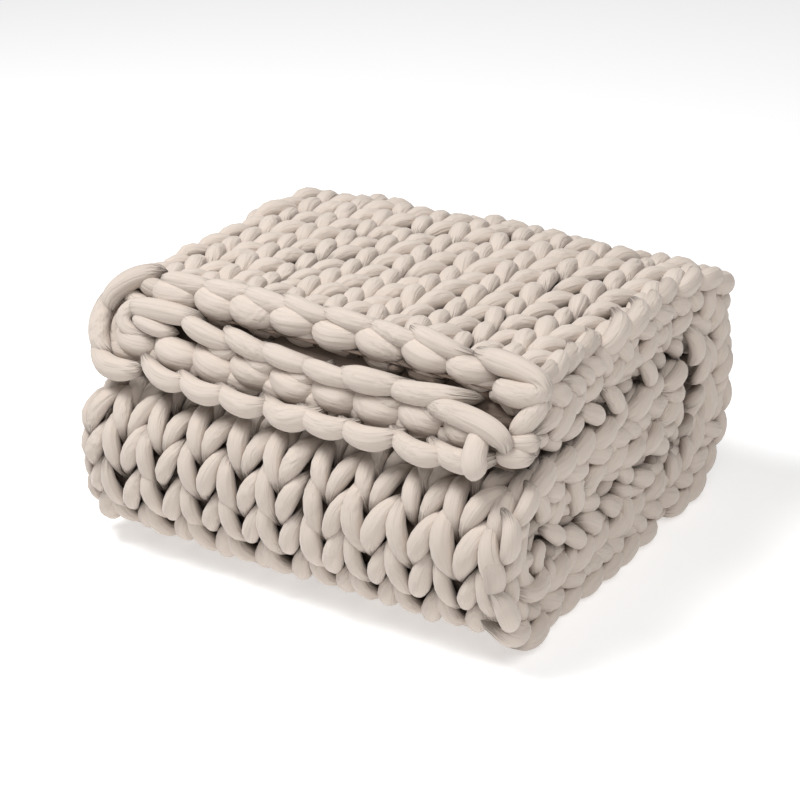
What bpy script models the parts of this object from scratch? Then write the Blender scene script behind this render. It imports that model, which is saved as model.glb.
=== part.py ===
"""Weighted blanket: one thick knitted cloth, doubled across its width and wound flat.

The cloth is first folded in half, so that a side view along Y is a hairpin of two
layers with the fold at -X and both side edges at +X. The doubled cloth is then
wound along its length: flap on top, round the back, along the ground, up the
front face and into the middle, under the flap.
"""
import math
from collections import namedtuple

import bmesh
import bpy

# Driving sizes, metres
LENGTH = 0.490        # along X, folded edge to side edges
DEPTH = 0.455         # along Y, front face to back turn
CLOTH = 0.0405        # thickness of one layer of the knitted cloth
SLIT = 0.003          # air between the two layers of the doubled cloth
TURN_GAP = 0.003      # air between one turn of the winding and the next
FLAP_SETBACK = 0.072  # cast-on edge behind the front face, at mid thickness
FLAP_SLANT = 0.048    # how much further back the outer layer ends than the inner
INNER_REACH = 0.132   # y of the end that is wound inside

# Softness of the shape
SQUARE_BACK = 0.10    # how much fuller than a round the back turn is at its corners
SQUARE_FRONT = 0.06   # the same for the front turn
EDGE_WANDER = 0.004   # side edges of the layers in and out of line
FRONT_WAVE = 0.003    # slow swell of the front and back faces along X
TOP_SAG = 0.005       # top lower at its two ends than at its middle
EDGE_LEAST = 0.35     # thickness left at the very end of a rounded cloth end

# Facets
ARM_STEPS = 8         # along X on each side of a layer
NOSE_STEPS = 8        # round the outside of the fold
SLIT_STEPS = 3        # round the inside of the fold
END_STEPS = 5         # round a side edge
ROUNDING_MARKS = (0.0, 0.12, 0.45, 1.0)  # stations of a cloth end, in half thicknesses

PAIR = 2 * CLOTH + SLIT
STEP = PAIR + TURN_GAP
HEIGHT = 3 * PAIR + 2 * TURN_GAP
LAYER_MID = (CLOTH + SLIT) / 2
BACK_Y = DEPTH / 2 - STEP - PAIR / 2
BACK_Z = PAIR / 2 + STEP
FRONT_Y = -DEPTH / 2 + STEP / 2 + PAIR / 2
FRONT_Z = PAIR / 2 + STEP / 2
FLAP_Y = -DEPTH / 2 + FLAP_SETBACK

# One row for each run of the winding, from the cast-on edge inwards
Run = namedtuple("Run", "name length steps")
RUNS = (
    Run("top", BACK_Y - FLAP_Y, 6),
    Run("back", math.pi * STEP, 18),
    Run("ground", BACK_Y - FRONT_Y, 6),
    Run("front", math.pi * STEP / 2, 12),
    Run("middle", INNER_REACH - FRONT_Y, 5),
)
TOTAL = sum(run.length for run in RUNS)

# Slow unevenness of the side edges: one row for each wave
Wave = namedtuple("Wave", "share radians_per_metre shift")
WAVES = (
    Wave(0.6, 10.6, 0.4),
    Wave(0.4, 24.2, 2.1),
)
LAYER_SHIFT = 1.9     # radians by which the waves of the two layers differ
FACE_ACROSS = 9.0     # radians for each metre of X in the swell of the faces
FACE_ALONG = 6.0      # radians for each metre of the winding in the same swell


def along(s):
    """Middle of the doubled cloth at length s: run name, y, z and outward direction."""
    for run in RUNS:
        if s <= run.length or run is RUNS[-1]:
            break
        s -= run.length
    if run.name == "top":
        return run.name, FLAP_Y + s, BACK_Z + STEP, 0.0, 1.0
    if run.name == "back":
        turn = s / STEP
        out_y, out_z = math.sin(turn), math.cos(turn)
        return run.name, BACK_Y + STEP * out_y, BACK_Z + STEP * out_z, out_y, out_z
    if run.name == "ground":
        return run.name, BACK_Y - s, PAIR / 2, 0.0, -1.0
    if run.name == "front":
        turn = 2 * s / STEP
        out_y, out_z = -math.sin(turn), -math.cos(turn)
        return run.name, FRONT_Y + STEP / 2 * out_y, FRONT_Z + STEP / 2 * out_z, out_y, out_z
    return run.name, FRONT_Y + s, BACK_Z, 0.0, 1.0


def fuller(y, z, centre_y, centre_z, inner, outer, amount):
    """Push a point of a turn out towards the corners, more at the outside."""
    dy, dz = y - centre_y, z - centre_z
    reach = math.hypot(dy, dz)
    outside = min(1.0, max(0.0, (reach - inner) / (outer - inner)))
    corner = 2 * dy * dz / reach ** 2
    grow = 1 + amount * outside * corner ** 2
    return centre_y + dy * grow, centre_z + dz * grow


def wander(s, side):
    """Unevenness between -1 and 1 at length s, different for the two layers."""
    waves = [wave.share * math.sin(wave.radians_per_metre * s + wave.shift + side * LAYER_SHIFT)
             for wave in WAVES]
    return sum(waves)


def place(u, n, s):
    """Point of the wound cloth: u across, n outward from its middle, s along."""
    name, y, z, out_y, out_z = along(s)
    y += n * out_y
    z += n * out_z
    if name == "back":
        y, z = fuller(y, z, BACK_Y, BACK_Z, STEP - PAIR / 2, STEP + PAIR / 2, SQUARE_BACK)
    if name == "front":
        y, z = fuller(y, z, FRONT_Y, FRONT_Z, SLIT, STEP / 2 + PAIR / 2, SQUARE_FRONT)
    if name == "top":
        near_end = max(0.0, 1 - s / RUNS[0].length)
        y += FLAP_SLANT * n / PAIR * near_end ** 2
    at_edge = max(0.0, u / LENGTH + 0.5) ** 3
    x = u + EDGE_WANDER * at_edge * wander(s, 1 if n > 0 else -1)
    off_ground = min(1.0, z / (HEIGHT / 2))
    y += FRONT_WAVE * off_ground * math.sin(FACE_ACROSS * u + FACE_ALONG * s)
    z -= TOP_SAG * (2 * u / LENGTH) ** 2 * (z / HEIGHT) ** 2
    return x, y, z


def arc(centre_u, centre_n, radius, start, sweep, steps):
    """Points round an arc, in degrees from +u towards +n."""
    points = []
    for i in range(steps + 1):
        turn = math.radians(start + sweep * i / steps)
        points.append((centre_u + radius * math.cos(turn), centre_n + radius * math.sin(turn)))
    return points


def hairpin():
    """Outline of the doubled cloth as (u, n, middle u, middle n) points."""
    fold_u = -LENGTH / 2 + PAIR / 2
    edge_u = LENGTH / 2 - CLOTH / 2
    straight = [i / ARM_STEPS for i in range(1, ARM_STEPS)]
    outline = []

    def arm(n, layer, inwards):
        for t in straight:
            u = edge_u + (fold_u - edge_u) * t if inwards else fold_u + (edge_u - fold_u) * t
            outline.append((u, n, u, layer))

    def fold(radius, start, sweep, steps):
        middles = arc(fold_u, 0, LAYER_MID, start, sweep, steps)
        for point, middle in zip(arc(fold_u, 0, radius, start, sweep, steps), middles):
            outline.append((*point, *middle))

    def edge(layer):
        for point in arc(edge_u, layer, CLOTH / 2, -90, 180, END_STEPS):
            outline.append((*point, edge_u, layer))

    arm(PAIR / 2, LAYER_MID, True)
    fold(PAIR / 2, 90, 180, NOSE_STEPS)
    arm(-PAIR / 2, -LAYER_MID, False)
    edge(-LAYER_MID)
    arm(-SLIT / 2, -LAYER_MID, True)
    fold(SLIT / 2, 270, -180, SLIT_STEPS)
    arm(SLIT / 2, LAYER_MID, False)
    edge(LAYER_MID)
    return outline


def stations():
    """Lengths along the winding at which the outline is set, each with its fullness."""
    marks = []
    start = 0.0
    for run in RUNS:
        marks += [start + run.length * i / run.steps for i in range(run.steps)]
        start += run.length
    rounding = [CLOTH / 2 * part for part in ROUNDING_MARKS]
    marks = [s for s in marks if CLOTH / 2 < s < TOTAL - CLOTH / 2]
    marks = rounding + marks + [TOTAL - d for d in reversed(rounding)]
    table = []
    for s in marks:
        inside = min(1.0, min(s, TOTAL - s) / (CLOTH / 2))
        full = EDGE_LEAST + (1 - EDGE_LEAST) * math.sqrt(max(0.0, 1 - (1 - inside) ** 2))
        table.append((s, full))
    return table


def build_blanket():
    """Extrude the hairpin outline from station to station and close both ends."""
    outline = hairpin()
    table = stations()

    def spot(column, s, full):
        u, n, mid_u, mid_n = outline[column]
        return place(mid_u + (u - mid_u) * full, mid_n + (n - mid_n) * full, s)

    bm = bmesh.new()
    column_of = bm.verts.layers.int.new("column")
    ring = []
    for column in range(len(outline)):
        vert = bm.verts.new(spot(column, *table[0]))
        vert[column_of] = column
        ring.append(vert)
    first = [bm.edges.new((ring[i - 1], ring[i])) for i in range(len(ring))]
    last = first
    for s, full in table[1:]:
        made = bmesh.ops.extrude_edge_only(bm, edges=last)["geom"]
        new_verts = {item for item in made if isinstance(item, bmesh.types.BMVert)}
        for vert in new_verts:
            vert.co = spot(vert[column_of], s, full)
        last = [item for item in made
                if isinstance(item, bmesh.types.BMEdge) and new_verts.issuperset(item.verts)]
    bmesh.ops.holes_fill(bm, edges=first, sides=0)
    bmesh.ops.holes_fill(bm, edges=last, sides=0)
    bmesh.ops.triangulate(bm, faces=[f for f in bm.faces if len(f.verts) > 4])
    bmesh.ops.recalc_face_normals(bm, faces=bm.faces)

    # Centre the footprint on the origin, with the underside on the ground
    low = [min(v.co[axis] for v in bm.verts) for axis in range(3)]
    high = [max(v.co[axis] for v in bm.verts) for axis in range(3)]
    shift = (-(low[0] + high[0]) / 2, -(low[1] + high[1]) / 2, -low[2])
    bmesh.ops.translate(bm, verts=bm.verts, vec=shift)
    mesh = bpy.data.meshes.new("blanket")
    bm.to_mesh(mesh)
    bm.free()
    return mesh


def knit_material():
    """Pale warm cotton jersey."""
    material = bpy.data.materials.new("cotton_knit")
    material.use_nodes = True
    shader = material.node_tree.nodes["Principled BSDF"]
    shader.inputs["Base Color"].default_value = (0.58, 0.50, 0.43, 1.0)
    shader.inputs["Roughness"].default_value = 0.9
    return material


for old in list(bpy.data.objects):
    bpy.data.objects.remove(old, do_unlink=True)

collection = bpy.data.collections.new("weighted_blanket")
bpy.context.scene.collection.children.link(collection)
blanket = bpy.data.objects.new("blanket", build_blanket())
blanket.data.materials.append(knit_material())
for polygon in blanket.data.polygons:
    polygon.use_smooth = True
collection.objects.link(blanket)
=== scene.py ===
"""Looks of the folded weighted blanket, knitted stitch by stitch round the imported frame."""
import math
from collections import namedtuple

import bmesh
import bpy
import numpy as np
from mathutils import Matrix, Vector


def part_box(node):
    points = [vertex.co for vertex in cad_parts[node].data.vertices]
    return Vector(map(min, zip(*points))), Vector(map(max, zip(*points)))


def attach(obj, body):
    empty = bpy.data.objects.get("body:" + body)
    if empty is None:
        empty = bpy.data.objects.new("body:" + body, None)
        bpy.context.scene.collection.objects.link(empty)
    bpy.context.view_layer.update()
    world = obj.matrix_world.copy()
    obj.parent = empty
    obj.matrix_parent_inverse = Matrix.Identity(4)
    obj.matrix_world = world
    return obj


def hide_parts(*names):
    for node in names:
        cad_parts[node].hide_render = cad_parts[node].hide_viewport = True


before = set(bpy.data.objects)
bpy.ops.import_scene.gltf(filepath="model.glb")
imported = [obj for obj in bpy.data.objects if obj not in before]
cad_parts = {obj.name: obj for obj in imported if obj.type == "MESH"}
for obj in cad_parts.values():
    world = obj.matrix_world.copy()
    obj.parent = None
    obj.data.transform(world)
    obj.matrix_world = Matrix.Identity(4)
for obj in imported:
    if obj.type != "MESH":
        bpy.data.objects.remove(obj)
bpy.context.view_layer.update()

# The blanket is one thick cloth, hand-knitted from a stuffed cotton tube. It is doubled
# across its width, with the fold at -X and both side edges at +X, and then wound along
# its length: flap on top, round the back, along the ground, up the front, into the middle.
low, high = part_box("blanket")
FACE_INSET = 0.0025
LENGTH = 0.490
CLOTH = 0.0405
SLIT = 0.003
TURN_GAP = 0.003
FLAP_SETBACK = 0.072
FLAP_SLANT = 0.048
INNER_REACH = 0.132
PAIR = 2 * CLOTH + SLIT
STEP = PAIR + TURN_GAP
HEIGHT = 3 * PAIR + 2 * TURN_GAP
LAYER_MID = (CLOTH + SLIT) / 2
FRONT_EDGE = low.y + FACE_INSET
BACK_EDGE = high.y - FACE_INSET
BACK_Y = BACK_EDGE - STEP - PAIR / 2
BACK_Z = PAIR / 2 + STEP
FRONT_Y = FRONT_EDGE + STEP / 2 + PAIR / 2
FRONT_Z = PAIR / 2 + STEP / 2
FLAP_Y = FRONT_EDGE + FLAP_SETBACK
SQUARE_BACK = 0.10
SQUARE_FRONT = 0.06
TOP_SAG = 0.005
PAST_OUTER = 1.3
PAST_FLAP = 1.4
TINY = 1e-9
RUNS = {
    "top": BACK_Y - FLAP_Y,
    "back": math.pi * STEP,
    "ground": BACK_Y - FRONT_Y,
    "front": math.pi * STEP / 2,
    "middle": INNER_REACH - FRONT_Y,
}
STARTS = dict(zip(RUNS, np.cumsum([0.0, *RUNS.values()])))
TOTAL = sum(RUNS.values())


def fuller(y, z, centre_y, centre_z, inner, outer, amount):
    """Points of a turn pushed out towards its corners, more so near its outer radius."""
    dy = y - centre_y
    dz = z - centre_z
    reach = np.hypot(dy, dz) + TINY
    outside = np.clip((reach - inner) / (outer - inner), 0, PAST_OUTER)
    grow = 1 + amount * outside * (2 * dy * dz / reach ** 2) ** 2
    return centre_y + dy * grow, centre_z + dz * grow


def wound(u, n, s):
    """Places of points u across, n outward from the middle of the pair and s along."""
    back = s - STARTS["back"]
    ground = s - STARTS["ground"]
    front = s - STARTS["front"]
    middle = s - STARTS["middle"]
    turn_back = np.clip(back / STEP, 0, math.pi)
    turn_front = np.clip(2 * front / STEP, 0, math.pi)
    turn = turn_back + turn_front
    out_y, out_z = np.sin(turn), np.cos(turn)
    y = FLAP_Y + np.minimum(s, STARTS["back"])
    y = y - np.clip(ground, 0, RUNS["ground"]) + np.maximum(middle, 0)
    y = y + STEP * np.sin(turn_back) - STEP / 2 * np.sin(turn_front)
    z = BACK_Z + STEP * np.cos(turn_back) + STEP / 2 * (1 - np.cos(turn_front))
    y = y + n * out_y
    z = z + n * out_z
    at_back = (back > 0) & (ground < 0)
    at_front = (front > 0) & (middle < 0)
    by, bz = fuller(y, z, BACK_Y, BACK_Z, STEP - PAIR / 2, STEP + PAIR / 2, SQUARE_BACK)
    fy, fz = fuller(y, z, FRONT_Y, FRONT_Z, SLIT, STEP / 2 + PAIR / 2, SQUARE_FRONT)
    y = np.where(at_back, by, np.where(at_front, fy, y))
    z = np.where(at_back, bz, np.where(at_front, fz, z))
    near_end = np.clip(1 - s / RUNS["top"], 0, PAST_FLAP) * (s < STARTS["back"])
    y = y + FLAP_SLANT * n / PAIR * near_end ** 2
    z = z - TOP_SAG * (2 * u / LENGTH) ** 2 * (z / HEIGHT) ** 2
    return np.stack([u, y, z], axis=-1)


# The cloth is stocking stitch with its knit side out. Each course is one tube of yarn that
# loops through the course before it: its legs make the plump V columns, and its heads and
# sinkers lie hidden behind them.
WALE = 0.0462
YARN = 0.0109
EDGE_U = LENGTH / 2 - 0.0255
FOLD_U = -LENGTH / 2 + PAIR / 2
SPAN = EDGE_U - FOLD_U
CURL = 0.009
LEAST_CURL = 0.001
MOST_CURL = 2.8
REACH = 0.009
LIFT = 0.002
LEAST_STRETCH = 0.25
FIRST_WALE = EDGE_U - 0.197
FIRST_COLUMN = -1
FIRST_COURSE = 0.036
BARE_END = 0.020
OUTER = 1
INNER = -1
Gauge = namedtuple("Gauge", "pitch girth")
GAUGES = {
    "top": Gauge(0.0315, 0.0090),
    "back": Gauge(0.0340, 0.0098),
    "ground": Gauge(0.0360, 0.0100),
    "front": Gauge(0.0390, 0.0090),
    "middle": Gauge(0.0360, 0.0098),
}

# One stitch, from the sinker on its right to the sinker on its left: across in wales,
# along in pitches, outward in yarn radii, and girth as a share of its course's. The right
# leg leans more and lies over the left one at the point of the V.
Stitch = namedtuple("Stitch", "across along outward girth")
WOBBLE = Stitch(0.014, 0.022, 0.06, 0.03)
LEAN = Stitch(0.035, 0.06, 0.14, 0.065)
STITCH = (
    Stitch(0.00, -0.72, -1.30, 0.80),
    Stitch(0.34, -0.88, -1.05, 0.52),
    Stitch(0.49, -0.74, -0.45, 0.42),
    Stitch(0.465, -0.44, 0.22, 0.62),
    Stitch(0.345, -0.02, 0.68, 1.03),
    Stitch(0.21, 0.38, 0.58, 1.02),
    Stitch(0.085, 0.74, 0.15, 0.72),
    Stitch(0.03, 0.98, -0.45, 0.42),
    Stitch(0.14, 1.13, -1.05, 0.54),
    Stitch(0.50, 1.22, -1.35, 0.78),
    Stitch(0.86, 1.13, -1.05, 0.54),
    Stitch(0.94, 1.02, -0.35, 0.40),
    Stitch(0.905, 0.77, 0.45, 0.68),
    Stitch(0.85, 0.38, 0.74, 0.96),
    Stitch(0.78, -0.05, 0.66, 0.99),
    Stitch(0.69, -0.44, 0.28, 0.66),
    Stitch(0.62, -0.72, -0.40, 0.42),
    Stitch(0.69, -0.88, -1.05, 0.52),
)


def layer_lengths(side):
    """Table of s along the winding against v along one layer's outer face."""
    s = [0.0]
    v = [0.0]
    radii = {"back": STEP, "front": STEP / 2}
    for name, run in RUNS.items():
        stretch = 1.0
        if name in radii:
            stretch = (radii[name] + side * (LAYER_MID + REACH)) / radii[name]
            stretch = max(LEAST_STRETCH, stretch)
        s.append(s[-1] + run)
        v.append(v[-1] + run * stretch)
    return np.array(s), np.array(v)


def courses(side):
    """Places of a layer's courses along its outer face, and the pitch and girth at each."""
    _, v = layer_lengths(side)
    middles = (v[1:] + v[:-1]) / 2
    pitches, girths = zip(*GAUGES.values())
    places = []
    at = FIRST_COURSE
    while at < v[-1] - BARE_END:
        pitch = float(np.interp(at, middles, pitches))
        places.append((at, pitch, float(np.interp(at, middles, girths))))
        at += pitch
    return places


def across(w, m):
    """Section of a layer: w from the side edge to the fold, m outward from its middle."""
    curl = np.clip(-w / (CURL + REACH), 0, MOST_CURL)
    nose = np.clip((w - SPAN) / (LAYER_MID + REACH), 0, math.pi)
    past = np.maximum(w - SPAN - math.pi * (LAYER_MID + REACH), 0)
    round_curl = np.maximum(CURL + m, LEAST_CURL)
    u = EDGE_U - np.clip(w, 0, SPAN)
    n = LAYER_MID + m
    u = np.where(w < 0, EDGE_U + round_curl * np.sin(curl), u)
    n = np.where(w < 0, LAYER_MID - CURL + round_curl * np.cos(curl), n)
    u = np.where(w > SPAN, FOLD_U - (LAYER_MID + m) * np.sin(nose) + past, u)
    n = np.where(w > SPAN, (LAYER_MID + m) * np.cos(nose), n)
    return u, n


# A tube has few faces round it. Its parts below the crease height get painted shade, and
# where it is slimmer than its full parts it is pleated, with painted shade in the pleats. The
# curled edge gets less painted shade than its depth says.
AROUND = 16
CREASE_TOP = 0.0096
CREASE_DEPTH = 0.009
FULL_PART = 0.7
PLEATED_BELOW = 0.93
PLEATED_RANGE = 0.38
PALE_CURL = 0.4
CURL_WIDTH = 0.02
# The gathered and recess values set where the jersey paints shade; gathered also sets its
# pleat bumps.
YARN_VALUES = ("gathered", "recess_shade", "lengthwise")


def smooth_through(points, steps):
    """A smooth line through points, with steps places from each to the next."""
    ends = np.vstack([2 * points[0] - points[1], points, 2 * points[-1] - points[-2]])
    p0, p1, p2, p3 = ends[:-3], ends[1:-2], ends[2:-1], ends[3:]
    line = []
    for t in np.arange(steps) / steps:
        line.append(0.5 * (2 * p1 + (p2 - p0) * t + (2 * p0 - 5 * p1 + 4 * p2 - p3) * t ** 2
                           + (3 * p1 - p0 - 3 * p2 + p3) * t ** 3))
    line = np.stack(line, axis=1).reshape(-1, points.shape[1])
    return np.vstack([line, points[-1]])


def laid(w, m, v, side):
    """Places and outward directions of points of one layer: m off it and v along it."""
    s_table, v_table = layer_lengths(side)
    s = np.interp(v, v_table, s_table) + np.minimum(v, 0) + np.maximum(v - v_table[-1], 0)
    places = []
    for lift in (0, LIFT):
        u, n = across(w, m + lift)
        places.append(wound(u, side * n, s))
    return places[0], places[1] - places[0]


def course_line(place, pitch, fullness, last, side, chance):
    """Line, outward directions, girth and height of one course, up to its last column."""
    stitch = np.array(STITCH)
    rows = []
    for column in range(FIRST_COLUMN, last):
        wobble = chance.normal(0, 1, stitch.shape) * WOBBLE
        lean = chance.normal(0, 1, len(LEAN)) * LEAN
        rows.append(stitch + wobble + lean + (column - 0.5, 0, 0, 0))
    sideways, along, outward, girth = smooth_through(np.vstack(rows), steps=2).T
    w = FIRST_WALE + sideways * WALE
    line, upright = laid(w, outward * YARN, place + along * pitch, side)
    # Painted shade only: the curled edge counts as higher here, so it is painted less dark.
    height = outward * YARN + PALE_CURL * np.clip(-w, 0, CURL_WIDTH)
    return line, upright, girth * fullness, height


def unit(vectors):
    """Vectors of length one."""
    return vectors / np.maximum(np.linalg.norm(vectors, axis=-1, keepdims=True), TINY)


def yarn_grid(bm, places, gathered, recess_shade, lengthwise):
    """Adds a grid bent to rows of places, with the values that the jersey reads."""
    rows, columns = places.shape[:2]
    made = bmesh.ops.create_grid(bm, x_segments=columns - 1, y_segments=rows - 1,
                                 size=0.5, calc_uvs=True)
    for vert, place in zip(made["verts"], places.reshape(-1, 3)):
        vert.co = place
    for name, values in zip(YARN_VALUES, (gathered, recess_shade, lengthwise)):
        layer = bm.verts.layers.float[name]
        values = np.broadcast_to(values, (rows, columns))
        for vert, value in zip(made["verts"], values.ravel()):
            vert[layer] = value


def tube(bm, line, outward, girth, height, flat=0.95, shade=1.0):
    """Rolls a long grid into a closed tube round a line, a little flat against the cloth.

    Its low parts get painted shade, as strong as shade says, and its thin parts are gathered
    in pleats, which the jersey also paints in shade.
    """
    ahead = unit(np.gradient(line, axis=0))
    sideways = unit(np.cross(outward, ahead))
    upways = np.cross(ahead, sideways)
    closing = np.ones(len(line))
    closing[[0, -1]] = 0.0
    closing[[1, -2]] = 0.7
    turn = np.linspace(0, 2 * math.pi, AROUND + 1)[:, None, None]
    radius = (girth * closing)[None, :, None]
    ring = np.cos(turn) * sideways[None] / flat ** 0.5 + np.sin(turn) * upways[None] * flat
    heights = height[None] + radius[..., 0] * np.sin(turn[..., 0]) * flat
    # Painted shade: the lower a part lies under the crease height, the darker its colour is
    # painted.
    recess_shade = shade * np.clip((CREASE_TOP - heights) / CREASE_DEPTH, 0, 1)
    # Slim parts are gathered: they get pleat bumps and painted shade in the pleats.
    slimness = PLEATED_BELOW - girth / np.quantile(girth, FULL_PART)
    gathered = np.clip(slimness / PLEATED_RANGE, 0, 1)
    steps = np.linalg.norm(np.diff(line, axis=0, prepend=line[:1]), axis=1)
    yarn_grid(bm, line[None] + radius * ring, gathered, recess_shade, np.cumsum(steps))


# The yarn's cover is matt beige cotton jersey, machine-knitted as a narrow tube and then
# stuffed. Its fine lines run along the tube, and it gathers in pleats where it is tight.
class Socket:
    """An output of a shader node. Arithmetic on it adds the nodes that work it out."""

    def __init__(self, tree, output):
        self.tree = tree
        self.output = output

    @staticmethod
    def node(tree, kind, settings, values, result=0):
        """A new node with its settings and its inputs' values or links, as a Socket."""
        made = tree.nodes.new(kind)
        for name, value in settings.items():
            setattr(made, name, value)
        for name, value in values.items():
            if isinstance(value, Socket):
                tree.links.new(value.output, made.inputs[name])
            else:
                made.inputs[name].default_value = value
        return Socket(tree, made.outputs[result])

    def maths(self, operation, *values):
        """A Math node on one or two values, as a Socket."""
        return Socket.node(self.tree, "ShaderNodeMath", {"operation": operation},
                           dict(enumerate(values)))

    def __add__(self, other):
        return self.maths("ADD", self, other)

    __radd__ = __add__

    def __sub__(self, other):
        return self.maths("SUBTRACT", self, other)

    def __rsub__(self, other):
        return self.maths("SUBTRACT", other, self)

    def __mul__(self, other):
        return self.maths("MULTIPLY", self, other)

    __rmul__ = __mul__

    def __abs__(self):
        return self.maths("ABSOLUTE", self)

    def least(self, other):
        return self.maths("MINIMUM", self, other)

    def cosine(self):
        return self.maths("COSINE", self)

    def sine(self):
        return self.maths("SINE", self)


DYE = (0.560, 0.482, 0.420, 1)
PALE_DYE = (0.650, 0.566, 0.500, 1)
# Dark brown painted as shade into creases, pleats and holes.
PAINTED_SHADE_COLOUR = (0.15, 0.108, 0.082, 1)


def cotton_jersey():
    """Matt beige jersey: fine lines along the yarn, and pleats where it is gathered, with
    painted shade mixed into its colour in the pleats and in its low parts.
    """
    material = bpy.data.materials.new("cotton_jersey")
    material.use_nodes = True
    tree = material.node_tree
    shader = tree.nodes["Principled BSDF"]
    around = Socket.node(tree, "ShaderNodeUVMap", {"uv_map": "yarn"}, {})
    around = Socket.node(tree, "ShaderNodeSeparateXYZ", {}, {"Vector": around}, "Y")
    turn = around * (2 * math.pi)
    gathered, recess_shade, along = [
        Socket.node(tree, "ShaderNodeAttribute", {"attribute_name": name}, {}, "Fac")
        for name in YARN_VALUES]
    place = Socket.node(tree, "ShaderNodeTexCoord", {}, {}, "Object")
    drift = Socket.node(tree, "ShaderNodeTexNoise", {}, {
        "Vector": place, "Scale": 9.0, "Detail": 1.0})
    mottle = Socket.node(tree, "ShaderNodeTexNoise", {}, {
        "Vector": place, "Scale": 16.0, "Detail": 2.0})

    def streaks(lines, stretch, detail):
        """Noise drawn out along the yarn, with so many lines round it."""
        spot = Socket.node(tree, "ShaderNodeCombineXYZ", {}, {
            "X": turn.cosine() * (lines / 6),
            "Y": turn.sine() * (lines / 6),
            "Z": along * stretch + drift * 14.0})
        return Socket.node(tree, "ShaderNodeTexNoise", {}, {
            "Vector": spot, "Scale": 1.0, "Detail": detail, "Roughness": 0.55})

    grain = streaks(lines=46, stretch=45, detail=2.0)
    folds = streaks(lines=7, stretch=34, detail=1.0)
    pleats = (abs(streaks(lines=14, stretch=20, detail=1.0) - 0.5) * 8).least(1.0)
    normal = Socket.node(tree, "ShaderNodeBump", {}, {
        "Strength": 0.75, "Distance": 0.004,
        "Height": grain * 0.20 + folds * 0.9 + pleats * (gathered + 0.06)})
    dye = Socket.node(tree, "ShaderNodeMix", {"data_type": "RGBA"}, {
        "Factor": mottle * 0.7 + grain * 0.5 - 0.1, "A": DYE, "B": PALE_DYE}, 2)
    # Painted shade: the dark crease colour is mixed in at the pleats' folds, a little over
    # all gathered parts, and over the low parts that the recess values mark.
    shadow = gathered * (1.0 - pleats) * 0.55 + gathered * 0.08 + recess_shade * 0.9
    dye_in_painted_shade = Socket.node(tree, "ShaderNodeMix", {"data_type": "RGBA"}, {
        "Factor": shadow, "A": dye, "B": PAINTED_SHADE_COLOUR}, 2)
    tree.links.new(dye_in_painted_shade.output, shader.inputs["Base Color"])
    tree.links.new(normal.output, shader.inputs["Normal"])
    tree.links.new((grain * 0.10 + 0.86).output, shader.inputs["Roughness"])
    shader.inputs["Sheen Weight"].default_value = 0.25
    shader.inputs["Sheen Roughness"].default_value = 0.45
    shader.inputs["Specular IOR Level"].default_value = 0.18
    return material


jersey = cotton_jersey()


# The outer layer is one piece for each run of the winding, from the curled side edge round
# the fold, where the knit side turns under. Only the first columns of the inner layer show,
# so it stops there.
WELD = 0.00002
PAST_FOLD = 12
PAST_SHOWN = 3
OUTER_SEED = 11
INNER_SEED = 40


def finished(name, bm):
    """Closes a piece's seams, gives it the jersey and puts it on the frame."""
    bmesh.ops.remove_doubles(bm, verts=bm.verts, dist=WELD)
    bmesh.ops.recalc_face_normals(bm, faces=bm.faces)
    mesh = bpy.data.meshes.new(name)
    bm.to_mesh(mesh)
    bm.free()
    mesh.shade_smooth()
    piece = bpy.data.objects.new(name, mesh)
    bpy.context.scene.collection.objects.link(piece)
    mesh.materials.append(jersey)
    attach(piece, "root")
    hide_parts("blanket")


def new_piece():
    """An empty mesh with the yarn's own map and its values."""
    bm = bmesh.new()
    bm.loops.layers.uv.new("yarn")
    for name in YARN_VALUES:
        bm.verts.layers.float.new(name)
    return bm


def knitted(name, side, rows, last, seed):
    """One stretch of the cloth: a tube for each course, as far as the last column."""
    chance = np.random.default_rng(seed)
    bm = new_piece()
    for place, pitch, fullness in rows:
        tube(bm, *course_line(place, pitch, fullness, last, side, chance))
    finished(name, bm)


lengths = layer_lengths(OUTER)[1]
for index, name in enumerate(RUNS):
    rows = [row for row in courses(OUTER) if lengths[index] <= row[0] < lengths[index + 1]]
    knitted("knit_" + name, OUTER, rows, PAST_FOLD, OUTER_SEED + index)
knitted("knit_inside", INNER, courses(INNER), PAST_SHOWN, INNER_SEED)


# Behind the legs lie the heads and sinkers of all the courses. They close the cloth: one
# sheet stands for them in each layer, and a third closes the flap's front behind its strands.
# The sheets are coloured in painted shade, so that the cloth's small holes look dark.
BEHIND = -0.004
SHEET_STEP = 0.008
SHEET_THICKNESS = 0.001
SHEET_START = -0.004
CURLED_START = -0.030
INNER_SHEET = 0.120
PLUG_DEPTH = 0.009
PLUG_ACROSS = (-0.222, 0.232, SHEET_STEP)
PLUG_OUTWARD = (-0.042, 0.037, 0.006)


def backing(bm, side, last):
    """A sheet behind one layer's stitches, from its curled edge to a place past it, all in
    painted shade.
    """
    v = np.arange(SHEET_START, layer_lengths(side)[1][-1], SHEET_STEP)
    w = np.arange(CURLED_START, last, SHEET_STEP)
    along, aside = np.meshgrid(v, w)
    places, _ = laid(aside, np.full(aside.shape, BEHIND), along, side)
    # Painted shade: the sheet takes the full dark crease colour.
    yarn_grid(bm, places, gathered=1.0, recess_shade=1.0, lengthwise=along)


heads = new_piece()
backing(heads, OUTER, SPAN + math.pi * (LAYER_MID + REACH))
backing(heads, INNER, INNER_SHEET)
u, n = np.meshgrid(np.arange(*PLUG_ACROSS), np.arange(*PLUG_OUTWARD))
plug = wound(u, n, np.full(u.shape, PLUG_DEPTH))
# Painted shade: the plug is coloured mostly in the dark crease colour.
yarn_grid(heads, plug, gathered=0.0, recess_shade=1.0, lengthwise=0.0)
bmesh.ops.solidify(heads, geom=heads.faces[:], thickness=SHEET_THICKNESS)
finished("knit_backs", heads)


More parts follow.
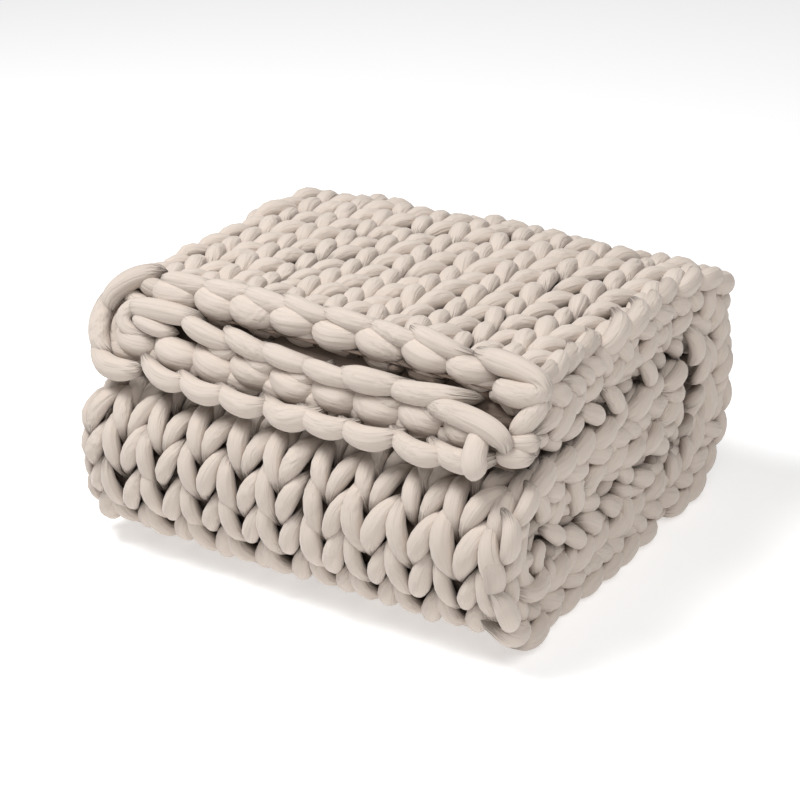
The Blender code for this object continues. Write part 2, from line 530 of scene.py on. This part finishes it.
# The cast-on edge closes the front of the flap: a chain along the knit side that turns
# round the fold like the letter C, a second chain in the slit with thinner strands under
# it, and between the chains the first course, which swells out in fat overlapping rolls.
Shape = namedtuple("Shape", "across level forward girth")
LEAF = (
    Shape(-0.78, 0.0010, -0.0100, 0.34),
    Shape(-0.60, 0.0020, 0.0000, 0.66),
    Shape(-0.30, 0.0020, 0.0055, 0.96),
    Shape(0.02, 0.0005, 0.0055, 1.00),
    Shape(0.34, -0.0010, 0.0022, 0.86),
    Shape(0.60, -0.0025, -0.0045, 0.58),
    Shape(0.78, -0.0035, -0.0120, 0.34),
)
LONG_LEAF = (
    Shape(-0.86, -0.0010, -0.0100, 0.34),
    Shape(-0.66, 0.0000, 0.0005, 0.68),
    Shape(-0.34, 0.0010, 0.0065, 0.98),
    Shape(0.02, 0.0000, 0.0060, 1.00),
    Shape(0.36, -0.0012, 0.0020, 0.84),
    Shape(0.64, -0.0025, -0.0050, 0.56),
    Shape(0.84, -0.0035, -0.0130, 0.34),
)
HANGING = (
    Shape(-0.86, 0.0025, -0.0130, 0.34),
    Shape(-0.66, 0.0010, -0.0050, 0.58),
    Shape(-0.36, -0.0005, 0.0015, 0.86),
    Shape(-0.02, -0.0015, 0.0055, 1.00),
    Shape(0.32, -0.0005, 0.0065, 0.98),
    Shape(0.58, 0.0015, 0.0010, 0.68),
    Shape(0.76, 0.0035, -0.0100, 0.34),
)
ROLL = (
    Shape(-0.52, 0.0030, -0.0150, 0.50),
    Shape(-0.40, 0.0020, -0.0040, 0.86),
    Shape(-0.14, 0.0005, 0.0025, 1.02),
    Shape(0.16, -0.0005, 0.0025, 1.02),
    Shape(0.40, -0.0018, -0.0040, 0.88),
    Shape(0.51, -0.0030, -0.0150, 0.52),
)
SMILE = (
    Shape(-0.54, 0.0100, -0.0130, 0.50),
    Shape(-0.44, 0.0030, -0.0040, 0.76),
    Shape(-0.16, -0.0035, 0.0030, 1.00),
    Shape(0.16, -0.0040, 0.0030, 1.00),
    Shape(0.42, 0.0020, -0.0040, 0.80),
    Shape(0.52, 0.0095, -0.0130, 0.50),
)

# Heights of the rows above the middle of the pair, at places across it.
Level = namedtuple("Level", "u rim roll smile slit under upper lower hem")
LEVELS = (
    Level(-0.22, 0.036, 0.020, 0.012, 0.014, -0.002, -0.017, -0.027, -0.035),
    Level(-0.15, 0.042, 0.027, 0.016, 0.012, -0.002, -0.018, -0.028, -0.033),
    Level(-0.05, 0.041, 0.027, 0.016, 0.005, -0.005, -0.020, -0.029, -0.0355),
    Level(0.00, 0.040, 0.026, 0.015, 0.003, -0.007, -0.022, -0.030, -0.0385),
    Level(0.06, 0.040, 0.026, 0.015, 0.003, -0.007, -0.021, -0.030, -0.0360),
    Level(0.13, 0.040, 0.026, 0.014, 0.004, -0.006, -0.020, -0.029, -0.0340),
    Level(0.22, 0.038, 0.024, 0.014, 0.002, -0.006, -0.019, -0.028, -0.032),
)


Row = namedtuple("Row", "shape level start count forward girth shade")
RIM_ROW = Row(LEAF, "rim", -0.140, 7, 0.001, 0.0094, 0.15)
CHAIN_ROWS = (
    Row(LONG_LEAF, "slit", -0.099, 5, 0.008, 0.0100, 0.6),
    Row(SMILE, "under", -0.088, 6, 0.001, 0.0066, 0.6),
    Row(HANGING, "hem", -0.140, 8, 0.006, 0.0108, 0.6),
)
ROLL_ROWS = (
    Row(ROLL, "roll", -0.157, 8, -0.004, 0.0138, 0.7),
    Row(ROLL, "smile", -0.199, 9, -0.011, 0.0090, 1.0),
    Row(ROLL, "upper", -0.188, 9, -0.004, 0.0138, 0.7),
    Row(ROLL, "lower", -0.203, 10, -0.008, 0.0100, 1.0),
)
ROW_NOISE = (0.0020, 0.0010, 0.0012, 0.06, 0.07)
ROW_BEHIND = 0.001
STRAND_FRONT = 0.006
STRAND_HEIGHT = 0.004
FORWARD_SHARE = 0.6
STRAND_FLAT = 0.92
EDGE_SEED = 5


def strand(bm, points, shade, front=STRAND_FRONT):
    """A short swelling of yarn on the flap's front face. Behind front, its colour gets
    painted shade.
    """
    u, level, forward, girth = smooth_through(np.array(points, dtype=float), steps=4).T
    line = wound(u, level, -forward)
    outward = wound(u, level, -forward - LIFT) - line
    height = FORWARD_SHARE * (forward - front) + STRAND_HEIGHT
    tube(bm, line, outward, girth, height, STRAND_FLAT, shade)


def row_of(bm, row, chance):
    """A row of like strands, one for each wale, tucked one under the next."""
    stations = [level.u for level in LEVELS]
    levels = [getattr(level, row.level) for level in LEVELS]
    for centre in row.start + WALE * np.arange(row.count):
        shift, lift, push, swell, slope = chance.normal(0, 1, len(ROW_NOISE)) * ROW_NOISE
        points = np.array(row.shape)
        points[:, 0] = points[:, 0] * WALE + centre + shift
        points[:, 1] += np.interp(points[:, 0], stations, levels) + lift
        points[:, 1] += slope * (points[:, 0] - centre)
        points[:, 2] += row.forward + push
        points[:, 3] *= row.girth * (1 + swell)
        strand(bm, points, row.shade, row.forward - ROW_BEHIND)


# Strands that lie on their own: three fat ones round the fold with two behind them, the
# small curl that starts the chain in the slit, and at the other end the doubled knot, the
# strand that arches over the slit, the one that hangs beside it and the yarn's tucked tail.
Point = namedtuple("Point", "u level forward girth")
FOLD_STRANDS = {
    "upper": (
        Point(-0.176, 0.0425, -0.010, 0.0045),
        Point(-0.190, 0.0415, -0.003, 0.0084),
        Point(-0.208, 0.0350, 0.003, 0.0098),
        Point(-0.223, 0.0230, 0.004, 0.0098),
        Point(-0.229, 0.0100, 0.001, 0.0085),
        Point(-0.229, 0.0010, -0.008, 0.0045),
    ),
    "middle": (
        Point(-0.231, 0.0210, -0.005, 0.0045),
        Point(-0.234, 0.0120, 0.000, 0.0080),
        Point(-0.233, -0.0020, 0.004, 0.0105),
        Point(-0.227, -0.0160, 0.006, 0.0105),
        Point(-0.218, -0.0260, 0.005, 0.0085),
        Point(-0.210, -0.0320, 0.000, 0.0045),
    ),
    "lower": (
        Point(-0.230, -0.0150, -0.004, 0.0050),
        Point(-0.227, -0.0260, 0.002, 0.0085),
        Point(-0.214, -0.0350, 0.006, 0.0108),
        Point(-0.196, -0.0375, 0.008, 0.0112),
        Point(-0.179, -0.0360, 0.007, 0.0090),
        Point(-0.168, -0.0345, 0.001, 0.0045),
    ),
    "behind": (
        Point(-0.207, 0.0300, -0.014, 0.0050),
        Point(-0.198, 0.0300, -0.008, 0.0086),
        Point(-0.183, 0.0275, -0.005, 0.0104),
        Point(-0.168, 0.0245, -0.007, 0.0090),
        Point(-0.159, 0.0225, -0.014, 0.0050),
    ),
    "inside": (
        Point(-0.218, 0.0130, -0.014, 0.0060),
        Point(-0.219, 0.0040, -0.010, 0.0084),
        Point(-0.216, -0.0090, -0.006, 0.0094),
        Point(-0.209, -0.0210, -0.004, 0.0088),
        Point(-0.202, -0.0290, -0.006, 0.0060),
    ),
}
CURL_STRANDS = {
    "curl": (
        Point(-0.180, 0.0160, 0.003, 0.0055),
        Point(-0.190, 0.0165, 0.008, 0.0074),
        Point(-0.199, 0.0110, 0.010, 0.0080),
        Point(-0.200, 0.0030, 0.010, 0.0080),
        Point(-0.192, -0.0040, 0.008, 0.0074),
        Point(-0.176, -0.0070, 0.004, 0.0060),
        Point(-0.162, -0.0080, -0.002, 0.0045),
    ),
    "inner": (
        Point(-0.190, 0.0050, 0.006, 0.0045),
        Point(-0.181, 0.0060, 0.011, 0.0070),
        Point(-0.166, 0.0040, 0.012, 0.0080),
        Point(-0.151, 0.0010, 0.008, 0.0070),
        Point(-0.139, -0.0010, 0.000, 0.0045),
    ),
    "first": (
        Point(-0.196, 0.0130, 0.006, 0.0060),
        Point(-0.186, 0.0165, 0.012, 0.0092),
        Point(-0.168, 0.0180, 0.014, 0.0106),
        Point(-0.147, 0.0175, 0.012, 0.0104),
        Point(-0.128, 0.0160, 0.007, 0.0084),
        Point(-0.112, 0.0140, -0.001, 0.0045),
    ),
}
END_STRANDS = {
    "knot": (
        Point(0.164, 0.0370, -0.010, 0.0040),
        Point(0.177, 0.0385, 0.000, 0.0082),
        Point(0.197, 0.0400, 0.008, 0.0112),
        Point(0.219, 0.0390, 0.010, 0.0106),
        Point(0.236, 0.0340, 0.008, 0.0096),
        Point(0.240, 0.0270, 0.007, 0.0094),
        Point(0.228, 0.0225, 0.011, 0.0110),
        Point(0.209, 0.0215, 0.010, 0.0104),
        Point(0.196, 0.0220, 0.000, 0.0060),
    ),
    "last": (
        Point(0.098, 0.0010, 0.003, 0.0050),
        Point(0.109, 0.0020, 0.009, 0.0090),
        Point(0.130, 0.0040, 0.012, 0.0104),
        Point(0.150, 0.0060, 0.010, 0.0098),
        Point(0.170, 0.0070, 0.004, 0.0072),
        Point(0.187, 0.0070, -0.003, 0.0040),
    ),
    "arch": (
        Point(0.134, -0.0060, 0.000, 0.0040),
        Point(0.148, -0.0030, 0.009, 0.0080),
        Point(0.170, -0.0010, 0.015, 0.0104),
        Point(0.192, -0.0015, 0.018, 0.0110),
        Point(0.211, -0.0045, 0.019, 0.0106),
        Point(0.221, -0.0110, 0.015, 0.0090),
        Point(0.222, -0.0190, 0.008, 0.0065),
        Point(0.219, -0.0250, 0.000, 0.0040),
    ),
    "hanging": (
        Point(0.198, -0.0050, 0.004, 0.0070),
        Point(0.199, -0.0120, 0.013, 0.0096),
        Point(0.202, -0.0230, 0.020, 0.0106),
        Point(0.206, -0.0320, 0.020, 0.0108),
        Point(0.209, -0.0385, 0.013, 0.0090),
    ),
    "tail": (
        Point(0.190, 0.0060, -0.010, 0.0050),
        Point(0.197, 0.0120, -0.004, 0.0070),
        Point(0.206, 0.0125, -0.001, 0.0072),
        Point(0.213, 0.0070, -0.002, 0.0068),
        Point(0.216, -0.0010, -0.008, 0.0050),
    ),
    "corner_top": (
        Point(0.243, 0.0220, 0.000, 0.0055),
        Point(0.240, 0.0140, 0.004, 0.0085),
        Point(0.234, 0.0040, 0.007, 0.0092),
        Point(0.228, -0.0040, 0.006, 0.0080),
        Point(0.222, -0.0090, 0.000, 0.0045),
    ),
    "corner_middle": (
        Point(0.220, -0.0170, -0.002, 0.0050),
        Point(0.229, -0.0150, 0.003, 0.0082),
        Point(0.239, -0.0130, 0.003, 0.0088),
        Point(0.248, -0.0110, -0.002, 0.0060),
    ),
    "corner_low": (
        Point(0.212, -0.0290, -0.002, 0.0050),
        Point(0.222, -0.0270, 0.003, 0.0086),
        Point(0.234, -0.0250, 0.002, 0.0092),
        Point(0.246, -0.0240, -0.004, 0.0060),
    ),
}

PALE_SHADE = 0.2
CURL_SHADE = 0.45
chance = np.random.default_rng(EDGE_SEED)
rim = new_piece()
row_of(rim, RIM_ROW, chance)
for points in FOLD_STRANDS.values():
    strand(rim, points, PALE_SHADE)
finished("cast_on_rim", rim)

chain = new_piece()
for row in CHAIN_ROWS:
    row_of(chain, row, chance)
for points in CURL_STRANDS.values():
    strand(chain, points, CURL_SHADE)
finished("cast_on_chains", chain)

rolls = new_piece()
for row in ROLL_ROWS:
    row_of(rolls, row, chance)
finished("cast_on_rolls", rolls)

ends = new_piece()
for points in END_STRANDS.values():
    strand(ends, points, PALE_SHADE)
finished("cast_on_ends", ends)


# Both side edges show at +X. Each course ends in a turn of yarn, so the edges of the wound
# layers pack the side with rows of short leaves that lean this way and that.
Leaf = namedtuple("Leaf", "along aside out girth")
SIDE_LEAF = (
    Leaf(-0.0270, -0.0010, -0.0160, 0.34),
    Leaf(-0.0210, -0.0010, -0.0060, 0.58),
    Leaf(-0.0110, 0.0000, 0.0025, 0.94),
    Leaf(0.0020, 0.0008, 0.0045, 1.00),
    Leaf(0.0135, 0.0005, 0.0015, 0.88),
    Leaf(0.0215, -0.0005, -0.0070, 0.54),
    Leaf(0.0270, -0.0015, -0.0160, 0.34),
)
SideRow = namedtuple("SideRow", "level out lean sway spacing girth shade")
SIDE_ROWS = (
    SideRow(0.0270, -0.0005, 14, 6, 0.0340, 0.0100, 0.25),
    SideRow(0.0075, -0.0040, -50, 18, 0.0320, 0.0082, 1.0),
    SideRow(-0.0130, -0.0040, 42, 26, 0.0320, 0.0080, 1.0),
    SideRow(-0.0340, -0.0020, -34, 18, 0.0320, 0.0084, 1.0),
)
SIDE_U = EDGE_U + 0.0130
SIDE_START = -0.006
SIDE_SHORT = 0.012
FIRST_LEAF = 0.024
FIRST_NOISE = 0.008
SIZE_NOISE = 0.07
OUT_NOISE = 0.0048
LOWEST = -0.041
SIDE_HEIGHT = 0.001
SIDE_FLAT = 0.9


def side_row(bm, row, chance):
    """One row of leaves along the wound side, evenly spaced by its own true length."""
    s = np.arange(SIDE_START, TOTAL - SIDE_SHORT, 0.002)
    path = wound(0 * s + SIDE_U, 0 * s + row.level, s)
    steps = np.linalg.norm(np.diff(path, axis=0), axis=1)
    length = np.concatenate([[0], np.cumsum(steps)])
    first = FIRST_LEAF + FIRST_NOISE * chance.random()
    for at in np.arange(first, length[-1], row.spacing):
        lean = math.radians(row.lean + chance.normal(0, row.sway))
        leaf = np.array(SIDE_LEAF) * (1 + chance.normal(0, SIZE_NOISE))
        along, aside, out, girth = leaf.T
        ahead = along * math.cos(lean) - aside * math.sin(lean)
        raised = along * math.sin(lean) + aside * math.cos(lean)
        out = out + row.out + chance.normal(0, OUT_NOISE)
        level = np.maximum(row.level + raised, LOWEST)
        place = np.interp(at + ahead, length, s)
        points = np.column_stack([out, level, place, girth * row.girth])
        out, level, place, girth = smooth_through(points, steps=3).T
        line = wound(SIDE_U + out, level, place)
        outward = np.tile([1.0, 0.0, 0.0], (len(line), 1))
        tube(bm, line, outward, girth, out + SIDE_HEIGHT, SIDE_FLAT, row.shade)


side = new_piece()
for row in SIDE_ROWS:
    side_row(side, row, chance)
finished("side_edges", side)


# The floor is pale seamless paper that glows a little, so that it stays near white. A soft
# light hangs above and to the left, and a wider, weaker one to the right.
PAPER = (0.78, 0.78, 0.78, 1)
WHITE = (1, 1, 1, 1)
bpy.ops.mesh.primitive_plane_add(size=60, location=(0, 0, 0))
floor = bpy.context.object
floor.name = "floor"
paper = bpy.data.materials.new("paper")
paper.use_nodes = True
paper_inputs = paper.node_tree.nodes["Principled BSDF"].inputs
paper_inputs["Base Color"].default_value = PAPER
paper_inputs["Roughness"].default_value = 0.9
paper_inputs["Emission Color"].default_value = WHITE
paper_inputs["Emission Strength"].default_value = 0.44
floor.data.materials.append(paper)


def softbox(name, place, aim, size, power):
    """A square lamp that faces a place."""
    light = bpy.data.lights.new(name, "AREA")
    light.size = size
    light.energy = power
    lamp = bpy.data.objects.new(name, light)
    lamp.location = place
    lamp.rotation_euler = (Vector(aim) - Vector(place)).to_track_quat("-Z", "Y").to_euler()
    bpy.context.scene.collection.objects.link(lamp)


softbox("key", (-0.8, -0.62, 2.25), (0, 0, 0.1), size=0.9, power=49)
softbox("fill", (1.35, -0.75, 2.0), (0, 0, 0.1), size=1.5, power=23)
world = bpy.data.worlds.new("studio")
world.use_nodes = True
world.node_tree.nodes["Background"].inputs["Color"].default_value = WHITE
world.node_tree.nodes["Background"].inputs["Strength"].default_value = 0.22
bpy.context.scene.world = world
bpy.context.scene.view_settings.view_transform = "Standard"


# The camera looks down on the front right corner through a long lens.
AZIMUTH = math.radians(35.35)
ELEVATION = math.radians(25.63)
CAMERA_ROLL = math.radians(-2.54)
DISTANCE = 1.956
LENS = 92
AIM = Vector((-0.0002, -0.0081, 0.1164))
camera = bpy.data.objects.new("camera", bpy.data.cameras.new("camera"))
camera.data.lens = LENS
back = Vector((math.sin(AZIMUTH) * math.cos(ELEVATION),
               -math.cos(AZIMUTH) * math.cos(ELEVATION), math.sin(ELEVATION)))
camera.location = AIM + back * DISTANCE
facing = (-back).to_track_quat("-Z", "Y")
camera.rotation_mode = "QUATERNION"
camera.rotation_quaternion = facing @ Matrix.Rotation(CAMERA_ROLL, 4, "Z").to_quaternion()
bpy.context.scene.collection.objects.link(camera)
bpy.context.scene.camera = camera
